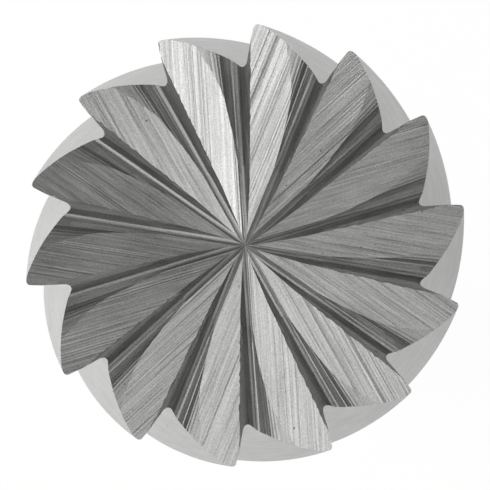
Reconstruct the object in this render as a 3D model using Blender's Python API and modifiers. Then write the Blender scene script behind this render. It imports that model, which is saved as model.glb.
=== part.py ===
# Cylindrical carbide burr with cutting teeth on its side and on its end.
# It stands on the end of its shank, with the cutting end up. Lengths are in metres, and +Z is up.
import math

import bmesh
import bpy
from mathutils import Matrix, Vector

TEETH = 14
HEAD_DIAMETER = 0.0127       # over the tips of the side teeth
HEAD_LENGTH = 0.0254         # from the joint face to the cutting edges of the end
HELIX_DEG = 20.0             # right-hand helix of the side flutes
FIRST_TOOTH_DEG = 8.9        # direction of the first side tooth at the cutting end, from +X

FLUTE_DEPTH = 0.00121        # side flute, measured inwards from the tips
FLUTE_ROOT_RADIUS = 0.00021
RAKE_LEAN_DEG = 10.0         # the side rake face leans back from the radius
BACK_RADIUS = 0.0047         # the convex back of each side tooth
TIP_LAND = 0.00012           # blunted width of each side tooth

EDGE_TURN_DEG = 4.1          # an end cutting edge turns this far ahead of the radius to its tip
EDGE_OFFSET = 0.000143       # and passes this far behind the axis
EDGE_DISH_DEG = 1.0          # the end cutting edges fall this much towards the axis
RELIEF_DEG = 11.0            # slope of the flat behind an end cutting edge
WALL_DEG = 63.0              # slope of the wall in front of an end cutting edge
ROOT_AHEAD_DEG = 7.65        # a gullet's root runs straight to the axis, this far ahead of a tip
ROOT_RADIUS = 0.0003
GULLET_DEPTH = 0.0007        # end gullet at the tip circle, below the top of the cutting edges
GULLET_FALL_DEG = 6.28       # its root deepens outwards by this
GULLET_START = 0.001         # where its cut begins, from the axis
HEEL_FOOT_DEG = 45.0         # the side of the gullet that faces the wall: steep at first,
HEEL_FOOT_WIDTH = 0.00028    # for this far from the root line,
HEEL_DEG = 28.0              # and then at this slope up to the flat

REAR_TAPER_DEG = 45.0        # the back of the head tapers down to the joint
JOINT_DIAMETER = 0.0071      # the carbide face that is brazed to the shank
BRAZE_THICKNESS = 0.00015
BRAZE_BULGE = 0.00018        # how far the braze stands out past the shank

SHANK_DIAMETER = 0.00635
SHANK_LENGTH = 0.04445
SHANK_CHAMFER = 0.0004

SLICE_DEG = 4.5              # turn of one slice of the twisted head
BACK_STEPS = 4               # straight pieces in the back of a tooth
ROOT_STEPS = 3               # and in a rounded root
ROUND_STEPS = 64             # sides of a turned piece
OVERCUT = 0.0005             # a cutter reaches this far past what it cuts
MERGE_DISTANCE = 1e-6        # points closer than this are one point

TIP_RADIUS = HEAD_DIAMETER / 2
PITCH = 2 * math.pi / TEETH
HEAD_BASE = SHANK_LENGTH + BRAZE_THICKNESS
HEAD_TOP = HEAD_BASE + HEAD_LENGTH
BLANK_TOP = HEAD_TOP + OVERCUT / 2
WHEEL_HEIGHT = 2 * GULLET_DEPTH + OVERCUT


def clear_scene():
    for obj in list(bpy.data.objects):
        bpy.data.objects.remove(obj, do_unlink=True)


def new_collection(name):
    collection = bpy.data.collections.new(name)
    bpy.context.scene.collection.children.link(collection)
    return collection


def new_material(name, color, roughness, metallic):
    material = bpy.data.materials.new(name)
    material.use_nodes = True
    shader = material.node_tree.nodes["Principled BSDF"]
    shader.inputs["Base Color"].default_value = (*color, 1.0)
    shader.inputs["Roughness"].default_value = roughness
    shader.inputs["Metallic"].default_value = metallic
    return material


def new_object(name, collection, mesh, material=None):
    obj = bpy.data.objects.new(name, mesh)
    collection.objects.link(obj)
    if material:
        mesh.materials.append(material)
    return obj


# Plane geometry: the flat outlines below are built from lines and arcs that touch.


def circles_meet(first, first_radius, second, second_radius):
    """The two points where two circles cross."""
    across = second - first
    gap = across.length
    along = (gap**2 + first_radius**2 - second_radius**2) / (2 * gap)
    rise = math.sqrt(first_radius**2 - along**2)
    unit = across / gap
    middle = first + unit * along
    side = Vector((-unit.y, unit.x)) * rise
    return middle + side, middle - side


def arc(centre, start, end, steps):
    """Points from start to end round a centre, the short way, with both ends."""
    radius = (start - centre).length
    first = math.atan2(start.y - centre.y, start.x - centre.x)
    turn = math.atan2(end.y - centre.y, end.x - centre.x) - first
    turn = (turn + math.pi) % (2 * math.pi) - math.pi
    return [
        centre + radius * Vector((math.cos(first + turn * i / steps), math.sin(first + turn * i / steps)))
        for i in range(steps + 1)
    ]


def turned(point, angle):
    """A point of the plane turned clockwise about the axis."""
    return Vector((
        point.x * math.cos(angle) + point.y * math.sin(angle),
        point.y * math.cos(angle) - point.x * math.sin(angle),
    ))


def tooth_outline():
    """One side tooth in section, with its tip at +Y: its land, its back and the root after it."""
    lean = math.radians(RAKE_LEAN_DEG)
    land = TIP_LAND / TIP_RADIUS
    tip = Vector((0.0, TIP_RADIUS))
    corner = turned(tip, -land)
    inward = Vector((-math.sin(lean), -math.cos(lean)))
    off_rake = Vector((-math.cos(lean), math.sin(lean)))
    beside = corner + off_rake * FLUTE_ROOT_RADIUS
    reach = TIP_RADIUS - FLUTE_DEPTH + FLUTE_ROOT_RADIUS
    half = beside.dot(inward)
    root = beside + inward * (-half - math.sqrt(half**2 - beside.length_squared + reach**2))
    rake_foot = root - off_rake * FLUTE_ROOT_RADIUS
    # The root in front of the tip is turned on by a pitch, to follow this tooth's back.
    root, rake_foot = turned(root, PITCH), turned(rake_foot, PITCH)
    bends = circles_meet(tip, BACK_RADIUS, root, BACK_RADIUS + FLUTE_ROOT_RADIUS)
    bend = min(bends, key=lambda point: point.length)
    meet = bend + (root - bend) * (BACK_RADIUS / (BACK_RADIUS + FLUTE_ROOT_RADIUS))
    back = arc(bend, tip, meet, BACK_STEPS)
    return [corner, *back[:-1], *arc(root, meet, rake_foot, ROOT_STEPS)]


def head_blank(collection, material):
    """The toothed section, twisted down the head slice by slice."""
    bm = bmesh.new()
    start = math.radians(90.0 - FIRST_TOOTH_DEG)
    outline = [turned(point, start + k * PITCH) for k in range(TEETH) for point in tooth_outline()]
    section = bm.faces.new([bm.verts.new((p.x, p.y, BLANK_TOP)) for p in reversed(outline)])
    length = BLANK_TOP - HEAD_BASE + OVERCUT
    twist = length * math.tan(math.radians(HELIX_DEG)) / TIP_RADIUS
    slices = math.ceil(twist / math.radians(SLICE_DEG))
    drop = Vector((0.0, 0.0, -length / slices))
    # The section starts at the cutting edges, so it is first turned back to the blank's top.
    above = (BLANK_TOP - HEAD_TOP) * twist / length
    bmesh.ops.rotate(bm, verts=section.verts[:], matrix=Matrix.Rotation(above, 3, "Z"))
    for number in range(slices):
        made = bmesh.ops.extrude_face_region(bm, geom=[section])["geom"]
        if number:
            bmesh.ops.delete(bm, geom=[section], context="FACES_ONLY")
        section = next(item for item in made if isinstance(item, bmesh.types.BMFace))
        bmesh.ops.rotate(bm, verts=section.verts[:], matrix=Matrix.Rotation(-twist / slices, 3, "Z"))
        bmesh.ops.translate(bm, verts=section.verts[:], vec=drop)
    mesh = bpy.data.meshes.new("carbide_head")
    bmesh.ops.recalc_face_normals(bm, faces=bm.faces[:])
    bm.to_mesh(mesh)
    bm.free()
    return new_object("carbide_head", collection, mesh, material)


# The end teeth. Two wheels pass along each root line: the first leaves the flat behind one cutting
# edge and a rounded corner up to the wall of the next, and the second deepens the gullet outwards.


def relief_gradient():
    """Slopes, in plan, of the flat behind the edge of the tooth with its tip at +Y."""
    angle = -math.radians(EDGE_TURN_DEG)
    along = Vector((math.sin(angle), math.cos(angle), 0.0))
    behind = Vector((along.y, -along.x, 0.0))
    return along * math.tan(math.radians(EDGE_DISH_DEG)) - behind * math.tan(math.radians(RELIEF_DEG))


def root_directions():
    """Direction of the root line behind that tooth, and the direction across it to the next tooth."""
    angle = PITCH - math.radians(ROOT_AHEAD_DEG)
    along = Vector((math.sin(angle), math.cos(angle), 0.0))
    return along, Vector((along.y, -along.x, 0.0))


def root_corner(centre, slope):
    """A rounded root between a face that falls towards it and the wall, and a point high on the wall."""
    steep = math.radians(WALL_DEG)
    first = centre + ROOT_RADIUS * Vector((-math.sin(slope), -math.cos(slope)))
    foot = centre + ROOT_RADIUS * Vector((math.sin(steep), -math.cos(steep)))
    high = foot + Vector((1.0, math.tan(steep))) * ((WHEEL_HEIGHT - foot.y) / math.tan(steep))
    return [*arc(centre, first, foot, ROOT_STEPS + 2), high]


def relief_profile(slope):
    """The first wheel in section: across and above the line where its flat meets the root line."""
    centre = Vector((0.0, ROOT_RADIUS / math.cos(slope)))
    far = TIP_RADIUS * math.sin(3 * PITCH / 2)
    return [Vector((-far, WHEEL_HEIGHT)), Vector((-far, far * math.tan(slope))), *root_corner(centre, slope)]


def gullet_profile():
    """The second wheel in section: across and above the bottom of the root."""
    foot_slope, heel_slope = math.radians(HEEL_FOOT_DEG), math.radians(HEEL_DEG)
    corner = root_corner(Vector((0.0, ROOT_RADIUS)), foot_slope)
    width = max(HEEL_FOOT_WIDTH, -corner[0].x + MERGE_DISTANCE)
    bend = Vector((-width, corner[0].y + (width + corner[0].x) * math.tan(foot_slope)))
    top = bend + Vector((-1.0, math.tan(heel_slope))) * ((WHEEL_HEIGHT - bend.y) / math.tan(heel_slope))
    return [top, bend, *corner]


def swept_wheel(name, collection, profile, base, fall, start):
    """A wheel's section drawn along its root line from start to past the rim, once for each tooth."""
    along, across = root_directions()
    along = along - Vector((0.0, 0.0, math.tan(fall)))
    bm = bmesh.new()
    section = [along * start + across * p.x + Vector((0.0, 0.0, base + p.y)) for p in profile]
    face = bm.faces.new([bm.verts.new(point) for point in section])
    swept = bmesh.ops.extrude_face_region(bm, geom=[face])["geom"]
    ends = [item for item in swept if isinstance(item, bmesh.types.BMVert)]
    bmesh.ops.translate(bm, verts=ends, vec=along * (TIP_RADIUS + OVERCUT - start))
    bmesh.ops.recalc_face_normals(bm, faces=bm.faces[:])
    mesh = bpy.data.meshes.new(name)
    bm.to_mesh(mesh)
    bm.free()
    for k in range(TEETH):
        cutter = new_object(f"{name}_{k + 1}", collection, mesh)
        cutter.location.z = HEAD_TOP
        cutter.rotation_euler.z = math.radians(FIRST_TOOTH_DEG - 90.0) + k * PITCH
        cutter.hide_render = True
        cutter.display_type = "WIRE"


def end_wheels(collection):
    gradient = relief_gradient()
    along, across = root_directions()
    dish, relief = math.radians(EDGE_DISH_DEG), math.radians(RELIEF_DEG)
    # The edges are highest where they meet the side flutes.
    base = -(TIP_RADIUS - FLUTE_DEPTH / 2) * math.tan(dish) + EDGE_OFFSET * math.tan(relief)
    slope = math.atan(-gradient.dot(across))
    swept_wheel("relief_wheel", collection, relief_profile(slope), base,
                math.atan(-gradient.dot(along)), -OVERCUT)
    fall = math.radians(GULLET_FALL_DEG)
    base = -GULLET_DEPTH + TIP_RADIUS * math.tan(fall)
    swept_wheel("gullet_wheel", collection, gullet_profile(), base, fall, GULLET_START)


def turned_piece(name, collection, profile, material=None):
    """A profile of (radius, height) points, listed from the top down, turned about the axis."""
    mesh = bpy.data.meshes.new(name)
    edges = [(i, i + 1) for i in range(len(profile) - 1)]
    mesh.from_pydata([(radius, 0.0, height) for radius, height in profile], edges, [])
    obj = new_object(name, collection, mesh, material)
    screw = obj.modifiers.new("turn", "SCREW")
    screw.steps = screw.render_steps = ROUND_STEPS
    screw.use_merge_vertices = True
    screw.merge_threshold = MERGE_DISTANCE
    screw.use_smooth_shade = False
    return obj


def rear_form(collection):
    """The head's outer form: a plain cylinder that tapers at the rear down to the joint face."""
    joint = JOINT_DIAMETER / 2
    wide = TIP_RADIUS + OVERCUT
    rise = (wide - joint) * math.tan(math.radians(REAR_TAPER_DEG))
    profile = [(0.0, BLANK_TOP + OVERCUT), (wide, BLANK_TOP + OVERCUT), (wide, HEAD_BASE + rise),
               (joint, HEAD_BASE), (0.0, HEAD_BASE)]
    form = turned_piece("rear_form", collection, profile)
    form.hide_render = True
    form.display_type = "WIRE"
    return form


def carbide_head(collection, cutters, material):
    head = head_blank(collection, material)
    form = head.modifiers.new("rear taper", "BOOLEAN")
    form.operation = "INTERSECT"
    form.object = rear_form(cutters)
    wheels = new_collection("end_wheels")
    wheels.hide_render = True
    end_wheels(wheels)
    cut = head.modifiers.new("end teeth", "BOOLEAN")
    cut.operand_type = "COLLECTION"
    cut.collection = wheels


def braze_joint(collection, material):
    """The thin layer of silver solder between the two ends, pressed out into a low bead."""
    shank, joint = SHANK_DIAMETER / 2, JOINT_DIAMETER / 2
    rim = min(shank + BRAZE_BULGE, joint)
    middle = SHANK_LENGTH + BRAZE_THICKNESS / 2
    profile = [(0.0, HEAD_BASE), (rim, HEAD_BASE), (rim + BRAZE_THICKNESS / 4, middle),
               (shank, SHANK_LENGTH), (0.0, SHANK_LENGTH)]
    turned_piece("braze_joint", collection, profile, material)


def steel_shank(collection, material):
    radius, chamfer = SHANK_DIAMETER / 2, SHANK_CHAMFER
    profile = [(0.0, SHANK_LENGTH), (radius, SHANK_LENGTH), (radius, chamfer),
               (radius - chamfer, 0.0), (0.0, 0.0)]
    turned_piece("steel_shank", collection, profile, material)


def main():
    clear_scene()
    burr = new_collection("carbide_burr")
    cutters = new_collection("cutters")
    cutters.hide_render = True
    carbide_head(burr, cutters, new_material("ground_carbide", (0.30, 0.30, 0.295), 0.32, 1.0))
    braze_joint(burr, new_material("silver_braze", (0.62, 0.56, 0.42), 0.35, 1.0))
    steel_shank(burr, new_material("ground_steel", (0.55, 0.56, 0.57), 0.25, 1.0))


main()
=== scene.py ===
import math
import random

import bpy
from mathutils import Matrix, Vector


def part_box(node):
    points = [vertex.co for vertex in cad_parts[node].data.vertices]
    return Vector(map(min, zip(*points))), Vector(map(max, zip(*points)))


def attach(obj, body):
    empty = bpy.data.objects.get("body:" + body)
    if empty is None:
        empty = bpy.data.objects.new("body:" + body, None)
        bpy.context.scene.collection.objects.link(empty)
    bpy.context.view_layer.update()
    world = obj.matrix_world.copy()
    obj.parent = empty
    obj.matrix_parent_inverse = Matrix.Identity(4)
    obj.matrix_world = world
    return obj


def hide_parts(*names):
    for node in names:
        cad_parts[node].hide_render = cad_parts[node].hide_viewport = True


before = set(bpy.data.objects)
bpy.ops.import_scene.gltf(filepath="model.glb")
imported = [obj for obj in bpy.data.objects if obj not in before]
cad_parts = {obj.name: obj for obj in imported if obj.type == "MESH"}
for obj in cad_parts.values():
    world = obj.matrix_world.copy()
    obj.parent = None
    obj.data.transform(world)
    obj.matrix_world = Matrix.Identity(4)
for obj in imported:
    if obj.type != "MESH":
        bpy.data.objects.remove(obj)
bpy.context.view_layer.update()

# Carbide burr seen from straight above its cutting end. It stands on the end of its shank.
for name in ("Cube", "Camera", "Light"):
    if name in bpy.data.objects:
        bpy.data.objects.remove(bpy.data.objects[name])
mm = 0.001
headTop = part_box("carbide_head")[1].z
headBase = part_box("carbide_head")[0].z
print("frame loaded, cutting edges at", round(headTop / mm, 3), "mm")


def deselectAll():
    if bpy.context.object and bpy.context.object.mode != "OBJECT":
        bpy.ops.object.mode_set(mode="OBJECT")
    bpy.ops.object.select_all(action="DESELECT")


def pick(thing):
    deselectAll()
    thing.select_set(True)
    bpy.context.view_layer.objects.active = thing


def nameIt(name):
    thing = bpy.context.object
    thing.name = thing.data.name = name
    return thing


def ringOf(name, points):  # a filled circle primitive whose corners are set to an outline in mm
    deselectAll()
    bpy.ops.mesh.primitive_circle_add(vertices=len(points), radius=mm, fill_type="NGON")
    ring = nameIt(name)
    for corner, point in zip(ring.data.vertices, points):
        corner.co = Vector(point) * mm
    return ring


def startSelection(thing, kind):  # clears it in edit mode, so that it can be set in object mode
    pick(thing)
    bpy.ops.object.mode_set(mode="EDIT")
    bpy.ops.mesh.select_mode(type=kind)
    bpy.ops.mesh.select_all(action="DESELECT")
    bpy.ops.object.mode_set(mode="OBJECT")


def selectFaces(thing, test):  # leaves edit mode on, with the faces that pass the test
    startSelection(thing, "FACE")
    for face in thing.data.polygons:
        face.select = bool(test(face))
    bpy.ops.object.mode_set(mode="EDIT")


def selectEdges(thing, test):
    startSelection(thing, "EDGE")
    spots = thing.data.vertices
    for edge in thing.data.edges:
        edge.select = bool(test(spots[edge.vertices[0]].co, spots[edge.vertices[1]].co))
    bpy.ops.object.mode_set(mode="EDIT")


def selectCorners(thing, test):
    startSelection(thing, "VERT")
    for corner in thing.data.vertices:
        corner.select = bool(test(corner))
    bpy.ops.object.mode_set(mode="EDIT")


def selectAll(thing):
    pick(thing)
    bpy.ops.object.mode_set(mode="EDIT")
    bpy.ops.mesh.select_all(action="SELECT")


def fillHoles(thing):
    selectAll(thing)
    bpy.ops.mesh.fill_holes(sides=0)
    bpy.ops.object.mode_set(mode="OBJECT")


def closeUp(thing):  # doubles merged and every face turned outwards
    selectAll(thing)
    bpy.ops.mesh.remove_doubles(threshold=0.00001 * mm)
    bpy.ops.mesh.normals_make_consistent(inside=False)
    bpy.ops.object.mode_set(mode="OBJECT")


def applyModifier(thing, kind, **settings):
    pick(thing)
    modifier = thing.modifiers.new(kind.lower(), kind)
    for key, value in settings.items():
        setattr(modifier, key, value)
    bpy.ops.object.modifier_apply(modifier=modifier.name)


def bakePlace(thing):
    pick(thing)
    bpy.ops.object.transform_apply(location=True, rotation=True, scale=True)


def smoothBelow(thing, degrees):
    pick(thing)
    bpy.ops.object.shade_smooth_by_angle(angle=math.radians(degrees))


def setMaterial(thing, *materials):
    thing.data.materials.clear()
    for material in materials:
        thing.data.materials.append(material)


def turned(point, angle):  # clockwise about the axis, seen from above
    return Vector((point[0] * math.cos(angle) + point[1] * math.sin(angle),
                   point[1] * math.cos(angle) - point[0] * math.sin(angle)))


def arcPoints(centre, start, end, steps):
    radius = (start - centre).length
    first = math.atan2(start.y - centre.y, start.x - centre.x)
    turn = math.atan2(end.y - centre.y, end.x - centre.x) - first
    turn = (turn + math.pi) % (2 * math.pi) - math.pi
    angles = [first + turn * i / steps for i in range(steps + 1)]
    return [centre + radius * Vector((math.cos(angle), math.sin(angle))) for angle in angles]


class Signal:  # an output socket; sums and products of signals add Math nodes
    def __init__(self, board, socket):
        self.board, self.socket = board, socket

    def maths(self, operation, *values):
        return self.board.node("ShaderNodeMath", {"operation": operation}, dict(enumerate(values)))

    def __add__(self, other): return self.maths("ADD", self, other)
    def __radd__(self, other): return self.maths("ADD", other, self)
    def __sub__(self, other): return self.maths("SUBTRACT", self, other)
    def __rsub__(self, other): return self.maths("SUBTRACT", other, self)
    def __mul__(self, other): return self.maths("MULTIPLY", self, other)
    def __rmul__(self, other): return self.maths("MULTIPLY", other, self)
    def __gt__(self, other): return self.maths("GREATER_THAN", self, other)
    def __lt__(self, other): return self.maths("LESS_THAN", self, other)
    def sine(self): return self.maths("SINE", self)
    def cosine(self): return self.maths("COSINE", self)


class Board:  # the node tree of one material or of the world
    def __init__(self, tree):
        self.tree = tree

    def node(self, kind, settings, values, output=0):
        made = self.tree.nodes.new(kind)
        for key, value in settings.items():
            if key == "stops":
                ramp = made.color_ramp
                while len(ramp.elements) < len(value):
                    ramp.elements.new(1.0)
                for element, (place, shade) in zip(ramp.elements, value):
                    element.position = place
                    element.color = (shade, shade, shade, 1.0)
            else:
                setattr(made, key, value)
        for key, value in values.items():
            if isinstance(value, Signal):
                self.tree.links.new(value.socket, made.inputs[key])
            else:
                made.inputs[key].default_value = value
        return Signal(self, made.outputs[output])

    def place(self):  # the point on the piece, in millimetres
        spot = self.node("ShaderNodeTexCoord", {}, {}, "Object")
        return self.node("ShaderNodeVectorMath", {"operation": "SCALE"}, {0: spot, "Scale": 1 / mm})

    def layout(self, name):
        return self.node("ShaderNodeUVMap", {"uv_map": name}, {})

    def axes(self, vector):
        return [self.node("ShaderNodeSeparateXYZ", {}, {0: vector}, axis) for axis in range(3)]

    def joined(self, x, y, z):
        return self.node("ShaderNodeCombineXYZ", {}, {0: x, 1: y, 2: z})

    def noise(self, vector, scale, detail, rough=0.5):
        return self.node("ShaderNodeTexNoise", {},
                         {"Vector": vector, "Scale": scale, "Detail": detail, "Roughness": rough})

    def spread(self, value, low, high, newLow=0.0, newHigh=1.0):
        return self.node("ShaderNodeMapRange", {"clamp": True},
                         {0: value, 1: low, 2: high, 3: newLow, 4: newHigh})

    def tint(self, factor, first, second, mode="MIX"):
        return self.node("ShaderNodeMix", {"data_type": "RGBA", "blend_type": mode},
                         {0: factor, 6: first, 7: second}, 2)

    def bump(self, height, strength, depth):
        return self.node("ShaderNodeBump", {},
                         {"Strength": strength, "Distance": depth * mm, "Height": height})

    def rays(self, kind):
        return self.node("ShaderNodeLightPath", {}, {}, kind)

    def metal(self, color, rough, normal):
        values = {"Base Color": color, "Metallic": 1.0, "Roughness": rough, "Normal": normal}
        return self.node("ShaderNodeBsdfPrincipled", {}, values)

    def finish(self, shader, kind="ShaderNodeOutputMaterial"):
        end = self.tree.nodes.new(kind)
        self.tree.links.new(shader.socket, end.inputs["Surface"])


def newBoard(name):
    material = bpy.data.materials.new(name)
    material.use_nodes = True
    material.node_tree.nodes.clear()
    return material, Board(material.node_tree)


# The camera looks down on the end, a little off the axis. Lengths are in mm, spans in pixels.
camera = {"distance": 109.54, "right": 1.26, "up": -3.33, "tipRadius": 6.35, "tipSpan": 222.07,
          "picture": 490, "sensor": 36.0, "nearest": 5.0}
endCentre = Vector((0.0, 0.0, headTop))
eye = endCentre + Vector((camera["right"], camera["up"], camera["distance"])) * mm
lookWay = (endCentre - eye).normalized()
sideWay = lookWay.cross(Vector((0.0, 1.0, 0.0))).normalized()
upWay = sideWay.cross(lookWay)
deselectAll()
bpy.ops.object.camera_add(location=eye)
viewer = nameIt("viewer")
viewer.rotation_euler = Matrix((sideWay, upWay, -lookWay)).transposed().to_euler()
viewer.data.sensor_width = camera["sensor"]
viewer.data.lens = (camera["sensor"] * camera["distance"] / camera["tipRadius"]
                    * camera["tipSpan"] / camera["picture"])
viewer.data.clip_start = camera["nearest"] * mm
bpy.context.scene.camera = viewer
bpy.context.scene.view_settings.view_transform = "Standard"
print("camera set")


# The fluted blank, in mm and degrees. Its end is ground later, by the wheels below.
tooth = {"count": 14, "radius": 6.349, "firstAt": 8.9, "helix": 20.0, "depth": 1.21,
         "rootRound": 0.21, "rakeLean": 10.0, "backRound": 4.7, "land": 0.17, "cornerRound": 0.1,
         "cornerSteps": 4, "backSteps": 14, "rootSteps": 7, "rakeSteps": 4, "slices": 56,
         "endSlices": 3, "edgeLand": 0.002, "overrun": 0.5, "smoothBelow": 24.0}
pitch = 2 * math.pi / tooth["count"]
blankTop = headTop / mm - tooth["edgeLand"]
blankLength = blankTop * mm - headBase + tooth["overrun"] * mm


def toothOutline():  # one side tooth with its tip at +Y, going clockwise: land, back, root
    lean, tipRadius = math.radians(tooth["rakeLean"]), tooth["radius"]
    small, big = tooth["rootRound"], tooth["backRound"]
    tip = Vector((0.0, tipRadius))
    corner = turned(tip, -tooth["land"] / tipRadius)
    inward = Vector((-math.sin(lean), -math.cos(lean)))
    offRake = Vector((-math.cos(lean), math.sin(lean)))
    beside = corner + offRake * small
    reach = tipRadius - tooth["depth"] + small
    half = beside.dot(inward)
    root = beside + inward * (-half - math.sqrt(half ** 2 - beside.length_squared + reach ** 2))
    rakeFoot = root - offRake * small
    root, rakeFoot = turned(root, pitch), turned(rakeFoot, pitch)
    across = root - tip
    along = (across.length_squared + big ** 2 - (big + small) ** 2) / (2 * across.length)
    rise = math.sqrt(big ** 2 - along ** 2)
    unit = across / across.length
    bends = [tip + unit * along + Vector((-unit.y, unit.x)) * way * rise for way in (1, -1)]
    bend = min(bends, key=lambda spot: spot.length)
    meet = bend + (root - bend) * (big / (big + small))
    nextCorner, steps = turned(corner, pitch), tooth["rakeSteps"]
    rake = [rakeFoot.lerp(nextCorner, step / steps) for step in range(1, steps)]
    back = arcPoints(bend, tip, meet, tooth["backSteps"])[:-1]
    return [corner] + back + arcPoints(root, meet, rakeFoot, tooth["rootSteps"]) + rake


def flutedBlank():
    start = math.radians(90.0 - tooth["firstAt"])
    corners = toothOutline()
    outline = [turned(spot, start + k * pitch) for k in range(tooth["count"]) for spot in corners]
    blank = ringOf("burrHead", [(spot.x, spot.y, blankTop) for spot in outline])
    tips = {k * len(corners) + side for k in range(tooth["count"]) for side in (0, 1)}
    selectCorners(blank, lambda corner: corner.index in tips)
    bpy.ops.mesh.bevel(affect="VERTICES", offset=tooth["cornerRound"] * mm,
                       segments=tooth["cornerSteps"], clamp_overlap=True)
    bpy.ops.mesh.select_all(action="SELECT")
    bpy.ops.mesh.delete(type="ONLY_FACE")
    bpy.ops.object.mode_set(mode="OBJECT")
    twist = blankLength / mm * math.tan(math.radians(tooth["helix"])) / tooth["radius"]
    applyModifier(blank, "SCREW", axis="Z", angle=-twist, screw_offset=-blankLength,
                  steps=tooth["slices"], render_steps=tooth["slices"],
                  use_merge_vertices=False, use_smooth_shade=False)
    fillHoles(blank)
    closeUp(blank)
    return blank


rear = {"joint": 3.55, "clear": 0.5, "above": 1.0, "sides": 192}  # the form clears tips and edges


def rearForm():  # what the rear of the head is turned to: a 45 degree cone down to the joint face
    joint, wide = rear["joint"], tooth["radius"] + rear["clear"]
    rise = wide - joint
    low, high = headBase / mm + rise, headTop / mm + rear["above"]
    deselectAll()
    bpy.ops.mesh.primitive_cylinder_add(vertices=rear["sides"], radius=wide * mm,
                                        depth=(high - low) * mm,
                                        location=(0.0, 0.0, (high + low) / 2 * mm))
    form = nameIt("rearForm")
    bakePlace(form)
    selectFaces(form, lambda face: face.normal.z < -0.9)
    bpy.ops.mesh.extrude_region_move(TRANSFORM_OT_translate={"value": (0.0, 0.0, -rise * mm)})
    bpy.ops.transform.resize(value=(joint / wide, joint / wide, 1.0),
                             center_override=(0.0, 0.0, headBase))
    bpy.ops.object.mode_set(mode="OBJECT")
    return form


# The two wheels that grind the end, in mm and degrees. Pairs are a reach from the root and a slope.
endTooth = {
    "edgeTurn": 4.1, "edgeOffset": 0.143, "rootAhead": 7.65, "dish": 1.0, "relief": 11.0,
    "wall": 61.0, "gulletDepth": 0.66, "gulletFall": 6.417, "gulletFrom": 1.0,
    "lip": (0.10, 16.0), "apron": (0.26, 30.0),  # the foot of the wall
    "heel": [(0.10, 14.0), (0.29, 36.0), (0.32, 15.0), (0.38, 33.0), (0.41, 15.0), (0.45, 31.0),
             (0.50, 14.0), (0.53, 29.0), (0.61, 14.0), (0.63, 26.0), (0.75, 13.5), (0.765, 22.0),
             (3.2, 14.0)],  # flat strips of it catch the light and steep ones stay dark
    "heelAtCentre": 0.15, "scoreWidth": 0.035, "scoreDepth": 0.014, "cornerFrom": -0.05,
    "reliefReach": 4.7, "reliefStep": 0.024, "reliefEdge": 0.2, "reliefWall": 0.9, "reliefTop": 1.2,
    "gulletWall": 1.5, "gulletTop": 1.7, "fineStep": 0.025, "coarseStep": 0.06, "fineReach": 1.0,
    "lengthSteps": 64, "over": 0.5}
wear = {
    "grooves": (-4.8, 0.1), "grooved": (-4.71, -0.06), "grooveWidth": (0.05, 0.11),
    "grooveDepth": 0.0024, "deepShare": 0.05, "deepGroove": 0.0045, "deepLeast": 0.5, "lean": 0.7,
    "streakFrom": 0.05, "streak": 0.0010, "ownStreak": 0.0006, "chip": 0.034, "chipBelow": 0.06,
    "reliefShift": 11.0, "gulletShift": 17.0, "seed": 41, "seedStep": 100}


def endPlan():  # a root line is its height at the axis, from the top of the head, and its rise
    angle = -math.radians(endTooth["edgeTurn"])
    edge = Vector((math.sin(angle), math.cos(angle)))
    behind = Vector((edge.y, -edge.x))
    dish = math.tan(math.radians(endTooth["dish"]))
    fall = math.tan(math.radians(endTooth["relief"]))
    relief = edge * dish - behind * fall
    angle = pitch - math.radians(endTooth["rootAhead"])
    along = Vector((math.sin(angle), math.cos(angle)))
    across = Vector((along.y, -along.x))
    reach, high = tooth["radius"], tooth["radius"] - tooth["depth"] / 2
    drop = -math.tan(math.radians(endTooth["gulletFall"]))
    nextEdge = math.radians(endTooth["rootAhead"] - endTooth["edgeTurn"])
    return {"along": along, "across": across, "reliefSlope": relief.dot(across),
            "relief": (-high * dish + endTooth["edgeOffset"] * fall, relief.dot(along)),
            "gullet": (-endTooth["gulletDepth"] - reach * drop, drop),
            "nextEdge": (-high * dish, math.cos(nextEdge) * dish)}


plan = endPlan()


def endSpot(line, distance, side, height):  # along a root line, across it and above it
    base, rise = plan[line]
    flat = plan["along"] * distance + plan["across"] * side
    return Vector((flat.x, flat.y, headTop / mm + base + rise * distance + height))


def sideOf(spot):
    return Vector((spot.x, spot.y)).dot(plan["across"]) / mm


def alongOf(spot):
    return Vector((spot.x, spot.y)).dot(plan["along"]) / mm


def heightOf(line, spot):
    base, rise = plan[line]
    return (spot.z - headTop) / mm - base - rise * alongOf(spot)


def nearestOf(profile, line, corner):  # where a corner of a wheel lies across, and on its profile
    spot = Vector((sideOf(corner.co), heightOf(line, corner.co)))
    return spot, min(range(len(profile)), key=lambda i: (profile[i] - spot).length_squared)


def wheelCopies(master, dress):
    copies = []
    for k in range(tooth["count"]):
        pick(master)
        bpy.ops.object.duplicate(linked=False)
        copy = nameIt(f"{master.name}{k + 1}")
        dress(copy, random.Random(wear["seed"] + wear["seedStep"] * k), k)
        copy.rotation_euler.z = math.radians(tooth["firstAt"] - 90.0) + k * pitch
        bakePlace(copy)
        copies.append(copy)
    return copies


def climb(spot, reach, slope, step):  # points up a slope from a spot, to a distance from the root
    count = max(1, round(abs(reach - spot.x) / step))
    rise = abs(reach - spot.x) * math.tan(math.radians(slope))
    move = Vector((reach - spot.x, rise)) / count
    return [spot + move * (i + 1) for i in range(count)]


def rootPoints():  # the wheel's worn corner leaves a fine score along the root
    width = endTooth["scoreWidth"]
    return [Vector((-width, 0.0)), Vector((0.0, -endTooth["scoreDepth"])), Vector((width, 0.0))]


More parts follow.
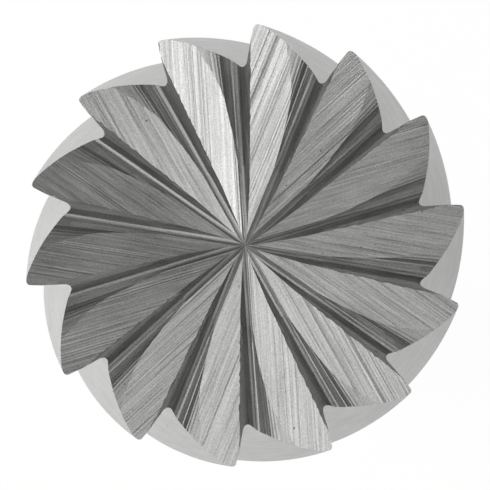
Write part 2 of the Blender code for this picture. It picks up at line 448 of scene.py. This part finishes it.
def wallPoints(high):  # from the root up to the face of the next tooth, and up that face
    foot = climb(rootPoints()[-1], *endTooth["lip"], endTooth["fineStep"])
    foot += climb(foot[-1], *endTooth["apron"], endTooth["fineStep"])
    reach = foot[-1].x + (high - foot[-1].y) / math.tan(math.radians(endTooth["wall"]))
    return foot, climb(foot[-1], reach, endTooth["wall"], endTooth["coarseStep"])


def reliefProfile():  # the flat, the score and the wall of the next tooth, in mm from the root line
    step, reach = endTooth["reliefStep"], endTooth["reliefReach"]
    sides = [-endTooth["scoreWidth"] - step * i for i in range(int(reach / step), 0, -1)]
    flat = [Vector((side, side * plan["reliefSlope"])) for side in sides]
    foot, wall = wallPoints(endTooth["reliefWall"])
    edge = Vector((-reach - endTooth["reliefEdge"], endTooth["reliefTop"]))
    return [edge] + flat + rootPoints() + foot + wall


def gulletProfile():
    heel = [rootPoints()[0]]
    for reach, slope in endTooth["heel"]:
        step = endTooth["fineStep" if reach < endTooth["fineReach"] else "coarseStep"]
        heel += climb(heel[-1], -reach, slope, step)
    foot, wall = wallPoints(endTooth["gulletWall"])
    edge = Vector((heel[-1].x, endTooth["gulletTop"]))
    return [edge] + heel[::-1] + rootPoints()[1:] + foot + wall


def wheelBody(name, line, profile, start, cuts):  # what a dressed wheel sweeps along its root line
    wheel = ringOf(name, [endSpot(line, start, spot.x, spot.y) for spot in profile])
    reach = tooth["radius"] + 2 * endTooth["over"]
    first, last = endSpot(line, start, 0.0, 0.0) * mm, endSpot(line, reach, 0.0, 0.0) * mm
    selectFaces(wheel, lambda face: True)
    bpy.ops.mesh.extrude_region_move(TRANSFORM_OT_translate={"value": last - first})
    bpy.ops.object.mode_set(mode="OBJECT")
    if cuts:
        length = (last - first).length
        selectEdges(wheel, lambda one, two: abs((one - two).length - length) < 0.001 * mm)
        bpy.ops.mesh.subdivide(number_cuts=cuts)
        bpy.ops.object.mode_set(mode="OBJECT")
    closeUp(wheel)
    walk = [0.0]
    for before, after in zip(profile, profile[1:]):
        walk.append(walk[-1] + (after - before).length)
    corners = wheel.data.vertices
    found = [nearestOf(profile, line, corner)[1] for corner in corners]
    layer = wheel.data.uv_layers.new(name="grain")  # the finish runs along the root line
    for loop in wheel.data.loops:
        corner = loop.vertex_index
        layer.data[loop.index].uv = (walk[found[corner]], alongOf(corners[corner].co))
    return wheel


def shiftGrain(wheel, offset):
    for item in wheel.data.uv_layers["grain"].data:
        item.uv = (item.uv[0] + offset, item.uv[1])


def reliefWheel():
    return wheelBody("reliefWheel", "relief", reliefProfile(), -endTooth["over"], 0)


def dressRelief(wheel, dice, k):  # grinding lines across the flat
    grooves = []
    side, last = wear["grooves"]
    while side < last:
        width = dice.uniform(*wear["grooveWidth"])
        depth = abs(dice.gauss(0.0, wear["grooveDepth"]))
        if dice.random() < wear["deepShare"]:
            depth = wear["deepGroove"] * dice.uniform(wear["deepLeast"], 1.0)
        grooves.append((side, width, depth))
        side += width
    for corner in wheel.data.vertices:
        side = sideOf(corner.co)
        if wear["grooved"][0] <= side <= wear["grooved"][1]:
            start, width, depth = [groove for groove in grooves if groove[0] <= side][-1]
            share = ((side - start) / width) ** wear["lean"]
            corner.co.z -= depth * (0.5 - 0.5 * math.cos(2 * math.pi * share)) * mm
    shiftGrain(wheel, wear["reliefShift"] * k)


def gulletWheel():
    return wheelBody("gulletWheel", "gullet", gulletProfile(), endTooth["gulletFrom"],
                     endTooth["lengthSteps"] - 1)


def dressGullet(wheel, dice, k):  # streaks along the gullet, and chips along the next cutting edge
    profile = gulletProfile()
    shared = random.Random(wear["seed"])
    shifts = [shared.uniform(-1.0, 1.0) * wear["streak"]
              + dice.uniform(-1.0, 1.0) * wear["ownStreak"] for _ in profile]
    steps = endTooth["lengthSteps"]
    chips = [dice.random() ** 2 * wear["chip"] for _ in range(steps + 2)]
    steep = math.radians(endTooth["wall"])
    start, reach = endTooth["gulletFrom"], tooth["radius"] + 2 * endTooth["over"]
    onWall = len(profile) - len(wallPoints(endTooth["gulletWall"])[1])
    edgeBase, edgeRise = plan["nextEdge"]
    rootBase, rootRise = plan["gullet"]
    centre = endTooth["heelAtCentre"]
    for corner in wheel.data.vertices:
        distance = alongOf(corner.co)
        spot, found = nearestOf(profile, "gullet", corner)
        edgeHeight = edgeBase + edgeRise * distance - rootBase - rootRise * distance
        if found >= onWall and spot.y > edgeHeight - wear["chipBelow"]:
            chip = chips[round((distance - start) / (reach - start) * steps)] * mm
            flat = plan["across"] * math.sin(steep) * chip
            corner.co += Vector((flat.x, flat.y, -math.cos(steep) * chip))
        elif found > 1 and abs(spot.x) > wear["streakFrom"]:
            corner.co.z += shifts[found] * mm
        if spot.x < -endTooth["scoreWidth"]:  # the heel narrows towards the axis
            share = min(1.0, centre + (1.0 - centre) * distance / tooth["radius"])
            shift = plan["across"] * spot.x * (share - 1) * mm
            corner.co += Vector((shift.x, shift.y, spot.y * (share - 1) * mm))
    shiftGrain(wheel, wear["gulletShift"] * k)


def carve(blank, wheels):
    for wheel in wheels:
        applyModifier(blank, "BOOLEAN", operation="DIFFERENCE", solver="MANIFOLD", object=wheel,
                      material_mode="TRANSFER")
        bpy.data.objects.remove(wheel)


def cutFree(blank, level):  # the end of the blank by itself, so that only it goes through the cuts
    selectFaces(blank, lambda face: face.center.z > level)
    bpy.ops.mesh.separate(type="SELECTED")
    bpy.ops.object.mode_set(mode="OBJECT")
    end = next(thing for thing in bpy.context.selected_objects if thing != blank)
    end.name = end.data.name = "burrEnd"
    fillHoles(end)
    return end


def putBack(blank, end, level):
    near = 0.01 * mm
    selectFaces(end, lambda face: face.normal.z < -0.999 and abs(face.center.z - level) < near)
    bpy.ops.mesh.delete(type="ONLY_FACE")
    bpy.ops.object.mode_set(mode="OBJECT")
    pick(blank)
    end.select_set(True)
    bpy.ops.object.join()
    selectCorners(blank, lambda corner: abs(corner.co.z - level) < near / 2)
    bpy.ops.mesh.remove_doubles(threshold=0.0005 * mm)
    bpy.ops.object.mode_set(mode="OBJECT")


carbide = {
    "relief": {"stretch": 0.025, "lineScale": 13.0, "cloudScale": 1.6, "pitScale": 2.4,
               "pitShare": 0.57, "dark": 0.27, "light": 0.66, "rough": 0.30, "bump": 0.45},
    "gullet": {"stretch": 0.03, "lineScale": 12.0, "cloudScale": 1.4, "pitScale": 1.8,
               "pitShare": 0.62, "dark": 0.27, "light": 0.63, "rough": 0.34, "bump": 0.5},
    "flute": {"stretch": 0.06, "lineScale": 8.0, "cloudScale": 0.6, "pitScale": 1.5,
              "pitShare": 0.50, "dark": 0.45, "light": 0.62, "rough": 0.34, "bump": 0.5},
}
grind = {  # what the three finishes share
    "fineTimes": 2.6, "gritScale": 24.0, "cloudStretch": (0.5, 0.25), "contrast": (0.36, 0.64),
    "lines": 0.4, "fineLines": 0.25, "grit": 0.35, "clouds": 0.4, "warm": 0.985,
    "pitSize": (0.035, 0.085), "pitPatch": 0.31, "pitDark": 0.75, "pitDeep": 2.0,
    "roughLess": 0.06, "roughMore": 0.08, "bumpDepth": 0.003}


def carbideBoard(name, kind):
    settings = carbide[kind]
    material, board = newBoard(name)
    if kind == "flute":  # the pattern is untwisted, so that it runs along the helix
        x, y, z = board.axes(board.place())
        turn = z * (-math.tan(math.radians(tooth["helix"])) / tooth["radius"])
        flatX = x * turn.cosine() - y * turn.sine()
        flatY = x * turn.sine() + y * turn.cosine()
        lines = board.joined(flatX, flatY, z * settings["stretch"])
        cloud = board.place()
    else:
        u, v, _ = board.axes(board.layout("grain"))
        lines = board.joined(u, v * settings["stretch"], 0.0)
        cloud = board.joined(u * grind["cloudStretch"][0], v * grind["cloudStretch"][1], 0.0)
    coarse = board.noise(lines, settings["lineScale"], detail=3.0, rough=0.6)
    fine = board.noise(lines, settings["lineScale"] * grind["fineTimes"], detail=2.0, rough=0.6)
    grit = board.noise(board.place(), grind["gritScale"], detail=2.0, rough=0.7)
    clouds = board.noise(cloud, settings["cloudScale"], detail=3.0, rough=0.55)
    speck = board.node("ShaderNodeTexVoronoi", {},
                       {"Vector": board.place(), "Scale": settings["pitScale"], "Randomness": 1.0})
    chance = board.noise(board.place(), settings["pitScale"] * grind["pitPatch"], detail=0.0)
    pits = board.spread(speck, *grind["pitSize"], 1.0, 0.0) * (chance > settings["pitShare"])
    mix = coarse * grind["lines"] + fine * grind["fineLines"] + grit * grind["grit"]
    mix = board.spread(mix, *grind["contrast"])
    shade = board.spread(mix * (1 - grind["clouds"]) + clouds * grind["clouds"], 0.2, 0.8,
                         settings["dark"], settings["light"])
    shade = shade * (1.0 - grind["pitDark"] * pits)
    color = board.joined(shade, shade, shade * grind["warm"])
    rough = board.spread(fine * 0.5 + clouds * 0.5, 0.3, 0.7,
                         settings["rough"] - grind["roughLess"], settings["rough"] + grind["roughMore"])
    height = coarse * 0.7 + fine * 0.3 - pits * grind["pitDeep"]
    normal = board.bump(height, settings["bump"], grind["bumpDepth"])
    board.finish(board.metal(color, rough, normal))
    return material


reliefFinish = carbideBoard("reliefGrind", "relief")
gulletFinish = carbideBoard("gulletGrind", "gullet")
fluteFinish = carbideBoard("fluteGrind", "flute")
print("carbide finishes made")

blank = flutedBlank()
print("fluted blank", len(blank.data.polygons), "faces")
setMaterial(blank, fluteFinish)
blank.data.uv_layers.new(name="grain")
form = rearForm()
applyModifier(blank, "BOOLEAN", operation="INTERSECT", solver="EXACT", object=form)
bpy.data.objects.remove(form)
print("rear taper turned", len(blank.data.polygons), "faces")
seam = blankTop * mm - tooth["endSlices"] * blankLength / tooth["slices"]
end = cutFree(blank, seam)
for shape, dress, finish in ((reliefWheel, dressRelief, reliefFinish),
                             (gulletWheel, dressGullet, gulletFinish)):
    master = shape()
    setMaterial(master, finish, gulletFinish)
    for face in master.data.polygons:  # the relief wheel's corner leaves the gullet wheel's finish
        face.material_index = int(sideOf(face.center) > endTooth["cornerFrom"])
    carve(end, wheelCopies(master, dress))
    bpy.data.objects.remove(master)
    print("end ground", len(end.data.polygons), "faces")
putBack(blank, end, seam)
smoothBelow(blank, tooth["smoothBelow"])
selectFaces(blank, lambda face: blank.data.materials[face.material_index] == reliefFinish)
bpy.ops.mesh.faces_shade_flat()
bpy.ops.object.mode_set(mode="OBJECT")
print("head whole", len(blank.data.polygons), "faces")
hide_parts("carbide_head")
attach(blank, "root")


shank = {
    "radius": 3.175, "length": 44.45, "chamfer": 0.4, "chamferSteps": 3, "faceInset": 0.5,
    "sides": 192, "smoothBelow": 30.0, "dark": 0.50, "light": 0.66, "rough": (0.2, 0.32),
    "ringScale": 14.0, "ringStretch": 0.03, "fineScale": 46.0, "fineStretch": 0.1,
    "cloudScale": 0.35, "markScale": 3.2, "markStretch": 0.12, "marked": (0.66, 0.74),
    "markShade": 0.12, "markDeep": 0.3, "cool": 1.01, "bump": 0.5, "bumpDepth": 0.003}


def plainShank():
    deselectAll()
    bpy.ops.mesh.primitive_cylinder_add(vertices=shank["sides"], radius=shank["radius"] * mm,
                                        depth=shank["length"] * mm,
                                        location=(0.0, 0.0, shank["length"] / 2 * mm))
    rod = nameIt("toolShank")
    bakePlace(rod)
    selectFaces(rod, lambda face: face.normal.z < -0.9)
    bpy.ops.mesh.bevel(offset=shank["chamfer"] * mm, segments=shank["chamferSteps"], affect="EDGES",
                       profile=0.5, clamp_overlap=True)
    bpy.ops.object.mode_set(mode="OBJECT")
    selectFaces(rod, lambda face: face.normal.z < -0.999)
    bpy.ops.mesh.inset(thickness=shank["faceInset"] * mm)
    bpy.ops.object.mode_set(mode="OBJECT")
    closeUp(rod)
    smoothBelow(rod, shank["smoothBelow"])
    return rod


def shankBoard():  # fine rings of a centreless grind, crossed by a few faint marks of handling
    material, board = newBoard("shankGrind")
    spot = board.place()
    x, y, z = board.axes(spot)
    flat, fineFlat, tall = shank["ringStretch"], shank["fineStretch"], shank["markStretch"]
    rings = board.noise(board.joined(x * flat, y * flat, z), shank["ringScale"],
                        detail=3.0, rough=0.65)
    fineRings = board.noise(board.joined(x * fineFlat, y * fineFlat, z), shank["fineScale"],
                            detail=2.0, rough=0.6)
    clouds = board.noise(spot, shank["cloudScale"], detail=3.0)
    marks = board.noise(board.joined(x, y, z * tall), shank["markScale"], detail=2.0, rough=0.6)
    marks = board.spread(marks, *shank["marked"])
    shade = board.spread(rings * 0.5 + fineRings * 0.3 + clouds * 0.2, 0.35, 0.65,
                         shank["dark"], shank["light"])
    shade = shade * (1.0 - shank["markShade"] * marks)
    rough = board.spread(rings * 0.5 + clouds * 0.5, 0.35, 0.65, *shank["rough"])
    rough = rough + shank["markShade"] * marks
    height = rings * 0.6 + fineRings * 0.4 - marks * shank["markDeep"]
    normal = board.bump(height, shank["bump"], shank["bumpDepth"])
    board.finish(board.metal(board.joined(shade, shade, shade * shank["cool"]), rough, normal))
    return material


braze = {
    "height": 0.15, "sides": 96, "startOut": 0.15, "rows": 3, "foot": 0.02, "belly": 0.155,
    "wave": 0.035, "waves": 9, "waveCounts": (2, 19), "phases": 6.28, "waveSizes": (0.2, 1.0),
    "seed": 7, "smoothBelow": 50.0, "pale": (0.72, 0.68, 0.56, 1.0),
    "deep": (0.62, 0.53, 0.36, 1.0), "stain": (0.30, 0.22, 0.14, 1.0), "stained": (0.62, 0.8),
    "rough": (0.28, 0.46),
    "cloudScale": 1.4, "grainScale": 14.0, "bump": 0.4, "bumpDepth": 0.01}


def brazeBead():
    low, high = shank["length"], shank["length"] + braze["height"]
    deselectAll()
    bpy.ops.mesh.primitive_cylinder_add(vertices=braze["sides"],
                                        radius=(shank["radius"] + braze["startOut"]) * mm,
                                        depth=(high - low) * mm,
                                        location=(0.0, 0.0, (high + low) / 2 * mm))
    bead = nameIt("brazeBead")
    bakePlace(bead)
    selectEdges(bead, lambda one, two: abs(one.z - two.z) > 0.1 * mm)
    bpy.ops.mesh.subdivide(number_cuts=braze["rows"])
    bpy.ops.object.mode_set(mode="OBJECT")
    dice = random.Random(braze["seed"])
    waves = [(dice.randint(*braze["waveCounts"]), dice.uniform(0.0, braze["phases"]),
              dice.uniform(*braze["waveSizes"])) for _ in range(braze["waves"])]
    most = sum(size for _, _, size in waves)
    for corner in bead.data.vertices:
        share = (corner.co.z / mm - low) / (high - low)
        belly = math.sin(math.pi * min(max(share, 0.0), 1.0)) ** 0.7
        around = math.atan2(corner.co.y, corner.co.x)
        wave = sum(size * math.sin(count * around + phase) for count, phase, size in waves) / most
        out = braze["foot"] + braze["belly"] * (0.35 * share + 0.65 * belly) + braze["wave"] * wave
        corner.co.xy = corner.co.xy.normalized() * (shank["radius"] + out) * mm
    closeUp(bead)
    smoothBelow(bead, braze["smoothBelow"])
    return bead


def brazeBoard():
    material, board = newBoard("brazeFlow")
    spot = board.place()
    clouds = board.noise(spot, braze["cloudScale"], detail=3.0, rough=0.6)
    grain = board.noise(spot, braze["grainScale"], detail=2.0, rough=0.6)
    color = board.tint(board.spread(clouds, 0.35, 0.65), braze["deep"], braze["pale"])
    color = board.tint(board.spread(grain, *braze["stained"]) * 0.5, color, braze["stain"])
    rough = board.spread(clouds * 0.5 + grain * 0.5, 0.3, 0.7, *braze["rough"])
    normal = board.bump(grain * 0.4 + clouds * 0.6, braze["bump"], braze["bumpDepth"])
    board.finish(board.metal(color, rough, normal))
    return material


rod = plainShank()
setMaterial(rod, shankBoard())
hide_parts("steel_shank")
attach(rod, "root")
bead = brazeBead()
setMaterial(bead, brazeBoard())
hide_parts("braze_joint")
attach(bead, "root")
print("shank and braze made")


# Ramps run from the horizon (0) to straight up (1). The near side of the sky is the one at -Y.
studio = {
    "floorSize": 3.0, "underShank": 0.02, "floorShade": 0.85, "floorSeen": 0.975, "floorShine": 0.3,
    "horizon": [(0.0, 1.0), (0.1, 1.0), (0.32, 0.06), (0.74, 0.06), (0.83, 0.0), (0.93, 0.0),
                (0.965, 0.20), (1.0, 0.17)],
    "ring": [(0.74, 0.0), (0.83, 1.0), (0.93, 1.0), (0.965, 0.0)],
    "nearRing": 0.87, "nearLean": -0.89, "farRing": 0.30, "sideBlend": 0.15,
    # name, azimuth, angle from straight up, distance and size in m, level, mirrored in the metal
    "lamps": [("keyLight", 27.0, 23.0, 0.60, 0.21, 3.2, True),
              ("fillLight", 188.0, 26.0, 0.60, 0.42, 0.76, True),
              ("sideLight", 165.0, 80.0, 0.10, 0.07, 16.0, False)]}


def studioFloor():
    deselectAll()
    bpy.ops.mesh.primitive_plane_add(size=studio["floorSize"],
                                     location=(0.0, 0.0, -studio["underShank"] * mm))
    floor = nameIt("studioFloor")
    material, board = newBoard("paleFloor")
    seen = board.rays("Is Camera Ray") * studio["floorSeen"]
    shine = board.rays("Is Glossy Ray") * studio["floorShine"]
    through = board.rays("Is Transmission Ray") * studio["floorSeen"]
    shade = studio["floorShade"]
    plain = board.node("ShaderNodeBsdfDiffuse", {}, {"Color": (shade, shade, shade, 1.0)})
    glow = board.node("ShaderNodeEmission", {}, {"Color": (1.0, 1.0, 1.0, 1.0), "Strength": 1.0})
    white = seen + shine + through
    board.finish(board.node("ShaderNodeMixShader", {}, {0: white, 1: plain, 2: glow}))
    setMaterial(floor, material)


def studioSky():
    world = bpy.data.worlds.new("studioSky")
    world.use_nodes = True
    world.node_tree.nodes.clear()
    board = Board(world.node_tree)
    x, y, z = board.axes(board.node("ShaderNodeTexCoord", {}, {}, "Generated"))
    low = board.node("ShaderNodeValToRGB", {"stops": studio["horizon"]}, {0: z})
    ring = board.node("ShaderNodeValToRGB", {"stops": studio["ring"]}, {0: z})
    near = board.spread(y, -studio["sideBlend"], studio["sideBlend"], 1.0, 0.0)
    lean = near * (studio["nearRing"] + x * studio["nearLean"]) + (1.0 - near) * studio["farRing"]
    bright = board.tint(1.0, ring, board.joined(lean, lean, lean), "MULTIPLY")
    color = board.tint(1.0, low, bright, "ADD")
    sky = board.node("ShaderNodeBackground", {}, {"Color": color, "Strength": 1.0})
    board.finish(sky, "ShaderNodeOutputWorld")
    bpy.context.scene.world = world


def softLight(name, azimuth, polar, distance, size, level, mirrored):  # level: 1 is a white panel
    azimuth, polar = math.radians(azimuth), math.radians(polar)
    way = Vector((math.sin(polar) * math.cos(azimuth), math.sin(polar) * math.sin(azimuth),
                  math.cos(polar)))
    deselectAll()
    bpy.ops.object.light_add(type="AREA", location=endCentre + way * distance)
    lamp = nameIt(name)
    lamp.rotation_euler = way.to_track_quat("Z", "Y").to_euler()
    lamp.data.shape = "DISK"
    lamp.data.size = size
    lamp.data.energy = level * math.pi * math.pi * size * size / 4
    lamp.visible_camera = False
    lamp.visible_glossy = mirrored


studioFloor()
studioSky()
for settings in studio["lamps"]:
    softLight(*settings)
print("studio set")
